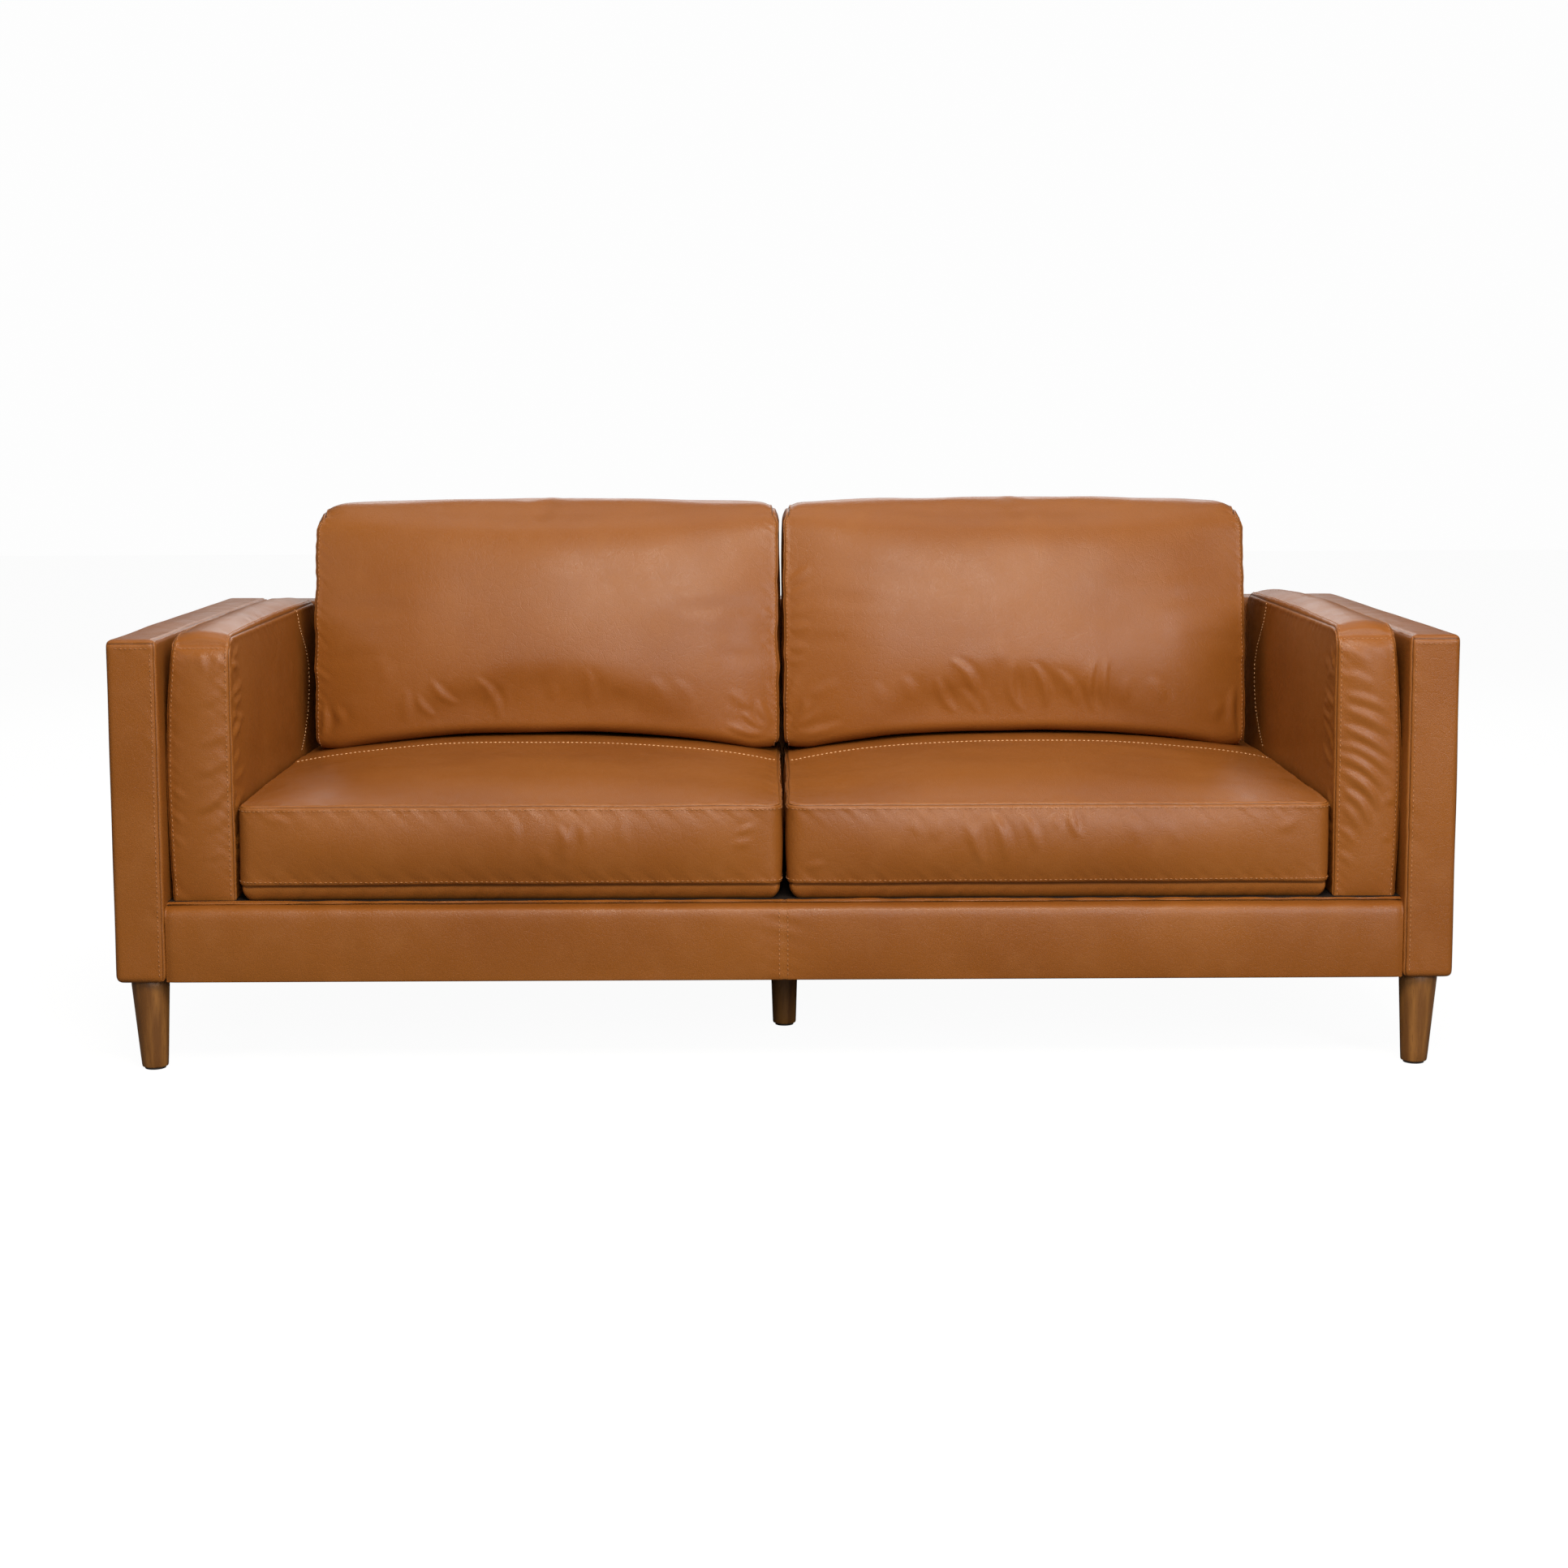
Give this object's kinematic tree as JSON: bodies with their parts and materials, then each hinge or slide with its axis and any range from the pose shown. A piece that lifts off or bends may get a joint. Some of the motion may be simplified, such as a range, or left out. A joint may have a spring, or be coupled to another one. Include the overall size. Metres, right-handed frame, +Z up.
{
  "type": "sofa with wooden legs",
  "caption": "Two-seat box-arm leather sofa on tapered round wooden legs, with loose seat and back cushions, loose arm pads and a sprung timber frame.",
  "frame": {"origin": "on the floor, under the middle of the sofa's width and depth", "axes": "+X to the right as seen from in front (the long direction), +Y towards the sofa's back, +Z up; the front faces -Y"},
  "size_m": [2.05, 0.88, 0.855],
  "materials": {
    "leather": "semi-gloss tan leather with fine pebble grain and lighter stitching",
    "foam": "matt upholstery foam",
    "frame_timber": "sawn softwood",
    "leg_wood": "satin walnut-brown stained hardwood",
    "spring_wire": "drawn steel wire",
    "steel": "zinc-plated steel",
    "glide_felt": "dense felt",
    "webbing": "woven elastic webbing",
    "deck_cloth": "woven lining cloth",
    "dust_cloth": "non-woven dust cloth",
    "zip_tape": "woven zip tape with a nylon coil",
    "zip_metal": "antique brass"
  },
  "bodies": {
    "root": {"left_arm_cover": "leather", "right_arm_cover": "leather", "front_rail_cover": "leather", "back_cover": "leather", "left_arm_padding": "foam", "right_arm_padding": "foam", "front_rail_padding": "foam", "back_padding": "foam", "front_rail": "frame_timber", "rear_rail": "frame_timber", "left_side_rail": "frame_timber", "right_side_rail": "frame_timber", "centre_rail": "frame_timber", "corner_blocks": "frame_timber", "left_arm_front_post": "frame_timber", "left_arm_rear_post": "frame_timber", "left_arm_top_rail": "frame_timber", "left_arm_bottom_rail": "frame_timber", "left_arm_panels": "frame_timber", "right_arm_front_post": "frame_timber", "right_arm_rear_post": "frame_timber", "right_arm_top_rail": "frame_timber", "right_arm_bottom_rail": "frame_timber", "right_arm_panels": "frame_timber", "back_top_rail": "frame_timber", "back_bottom_rail": "frame_timber", "back_posts": "frame_timber", "left_front_leg": "leg_wood", "right_front_leg": "leg_wood", "left_rear_leg": "leg_wood", "right_rear_leg": "leg_wood", "centre_leg": "leg_wood", "seat_springs": "spring_wire", "spring_clips": "spring_wire", "frame_bolts": "steel", "leg_bolts": "steel", "leg_glides": "glide_felt", "back_webbing": "webbing", "deck_cloth": "deck_cloth", "dust_cover": "dust_cloth"},
    "left_seat_cushion": {"left_seat_cover": "leather", "left_seat_core": "foam", "left_seat_zip_chain": "zip_tape"},
    "left_back_cushion": {"left_back_cover": "leather", "left_back_core": "foam", "left_back_zip_chain": "zip_tape"},
    "left_arm_pad": {"left_arm_pad_cover": "leather", "left_arm_pad_core": "foam"},
    "left_seat_zip_slider": {"left_seat_zip_slider": "zip_metal"},
    "left_back_zip_slider": {"left_back_zip_slider": "zip_metal"},
    "right_seat_cushion": {"right_seat_cover": "leather", "right_seat_core": "foam", "right_seat_zip_chain": "zip_tape"},
    "right_back_cushion": {"right_back_cover": "leather", "right_back_core": "foam", "right_back_zip_chain": "zip_tape"},
    "right_arm_pad": {"right_arm_pad_cover": "leather", "right_arm_pad_core": "foam"},
    "right_seat_zip_slider": {"right_seat_zip_slider": "zip_metal"},
    "right_back_zip_slider": {"right_back_zip_slider": "zip_metal"}
  },
  "joints": [
    {"name": "left_seat_cushion_pull_out", "type": "slide", "parent": "root", "child": "left_seat_cushion", "axis": [0, -1, 0], "range_m": [0, 0.9]},
    {"name": "left_back_cushion_lift_off", "type": "slide", "parent": "root", "child": "left_back_cushion", "axis": [0, 0, 1], "range_m": [0, 0.6]},
    {"name": "left_arm_pad_lift_off", "type": "slide", "parent": "root", "child": "left_arm_pad", "axis": [0, 0, 1], "range_m": [0, 0.55]},
    {"name": "left_seat_zip", "type": "slide", "parent": "left_seat_cushion", "child": "left_seat_zip_slider", "axis": [1, 0, 0], "range_m": [0, 0.668]},
    {"name": "left_back_zip", "type": "slide", "parent": "left_back_cushion", "child": "left_back_zip_slider", "axis": [1, 0, 0], "range_m": [0, 0.668]},
    {"name": "right_seat_cushion_pull_out", "type": "slide", "parent": "root", "child": "right_seat_cushion", "axis": [0, -1, 0], "range_m": [0, 0.9]},
    {"name": "right_back_cushion_lift_off", "type": "slide", "parent": "root", "child": "right_back_cushion", "axis": [0, 0, 1], "range_m": [0, 0.6]},
    {"name": "right_arm_pad_lift_off", "type": "slide", "parent": "root", "child": "right_arm_pad", "axis": [0, 0, 1], "range_m": [0, 0.55]},
    {"name": "right_seat_zip", "type": "slide", "parent": "right_seat_cushion", "child": "right_seat_zip_slider", "axis": [-1, 0, 0], "range_m": [0, 0.668]},
    {"name": "right_back_zip", "type": "slide", "parent": "right_back_cushion", "child": "right_back_zip_slider", "axis": [-1, 0, 0], "range_m": [0, 0.668]}
  ]
}
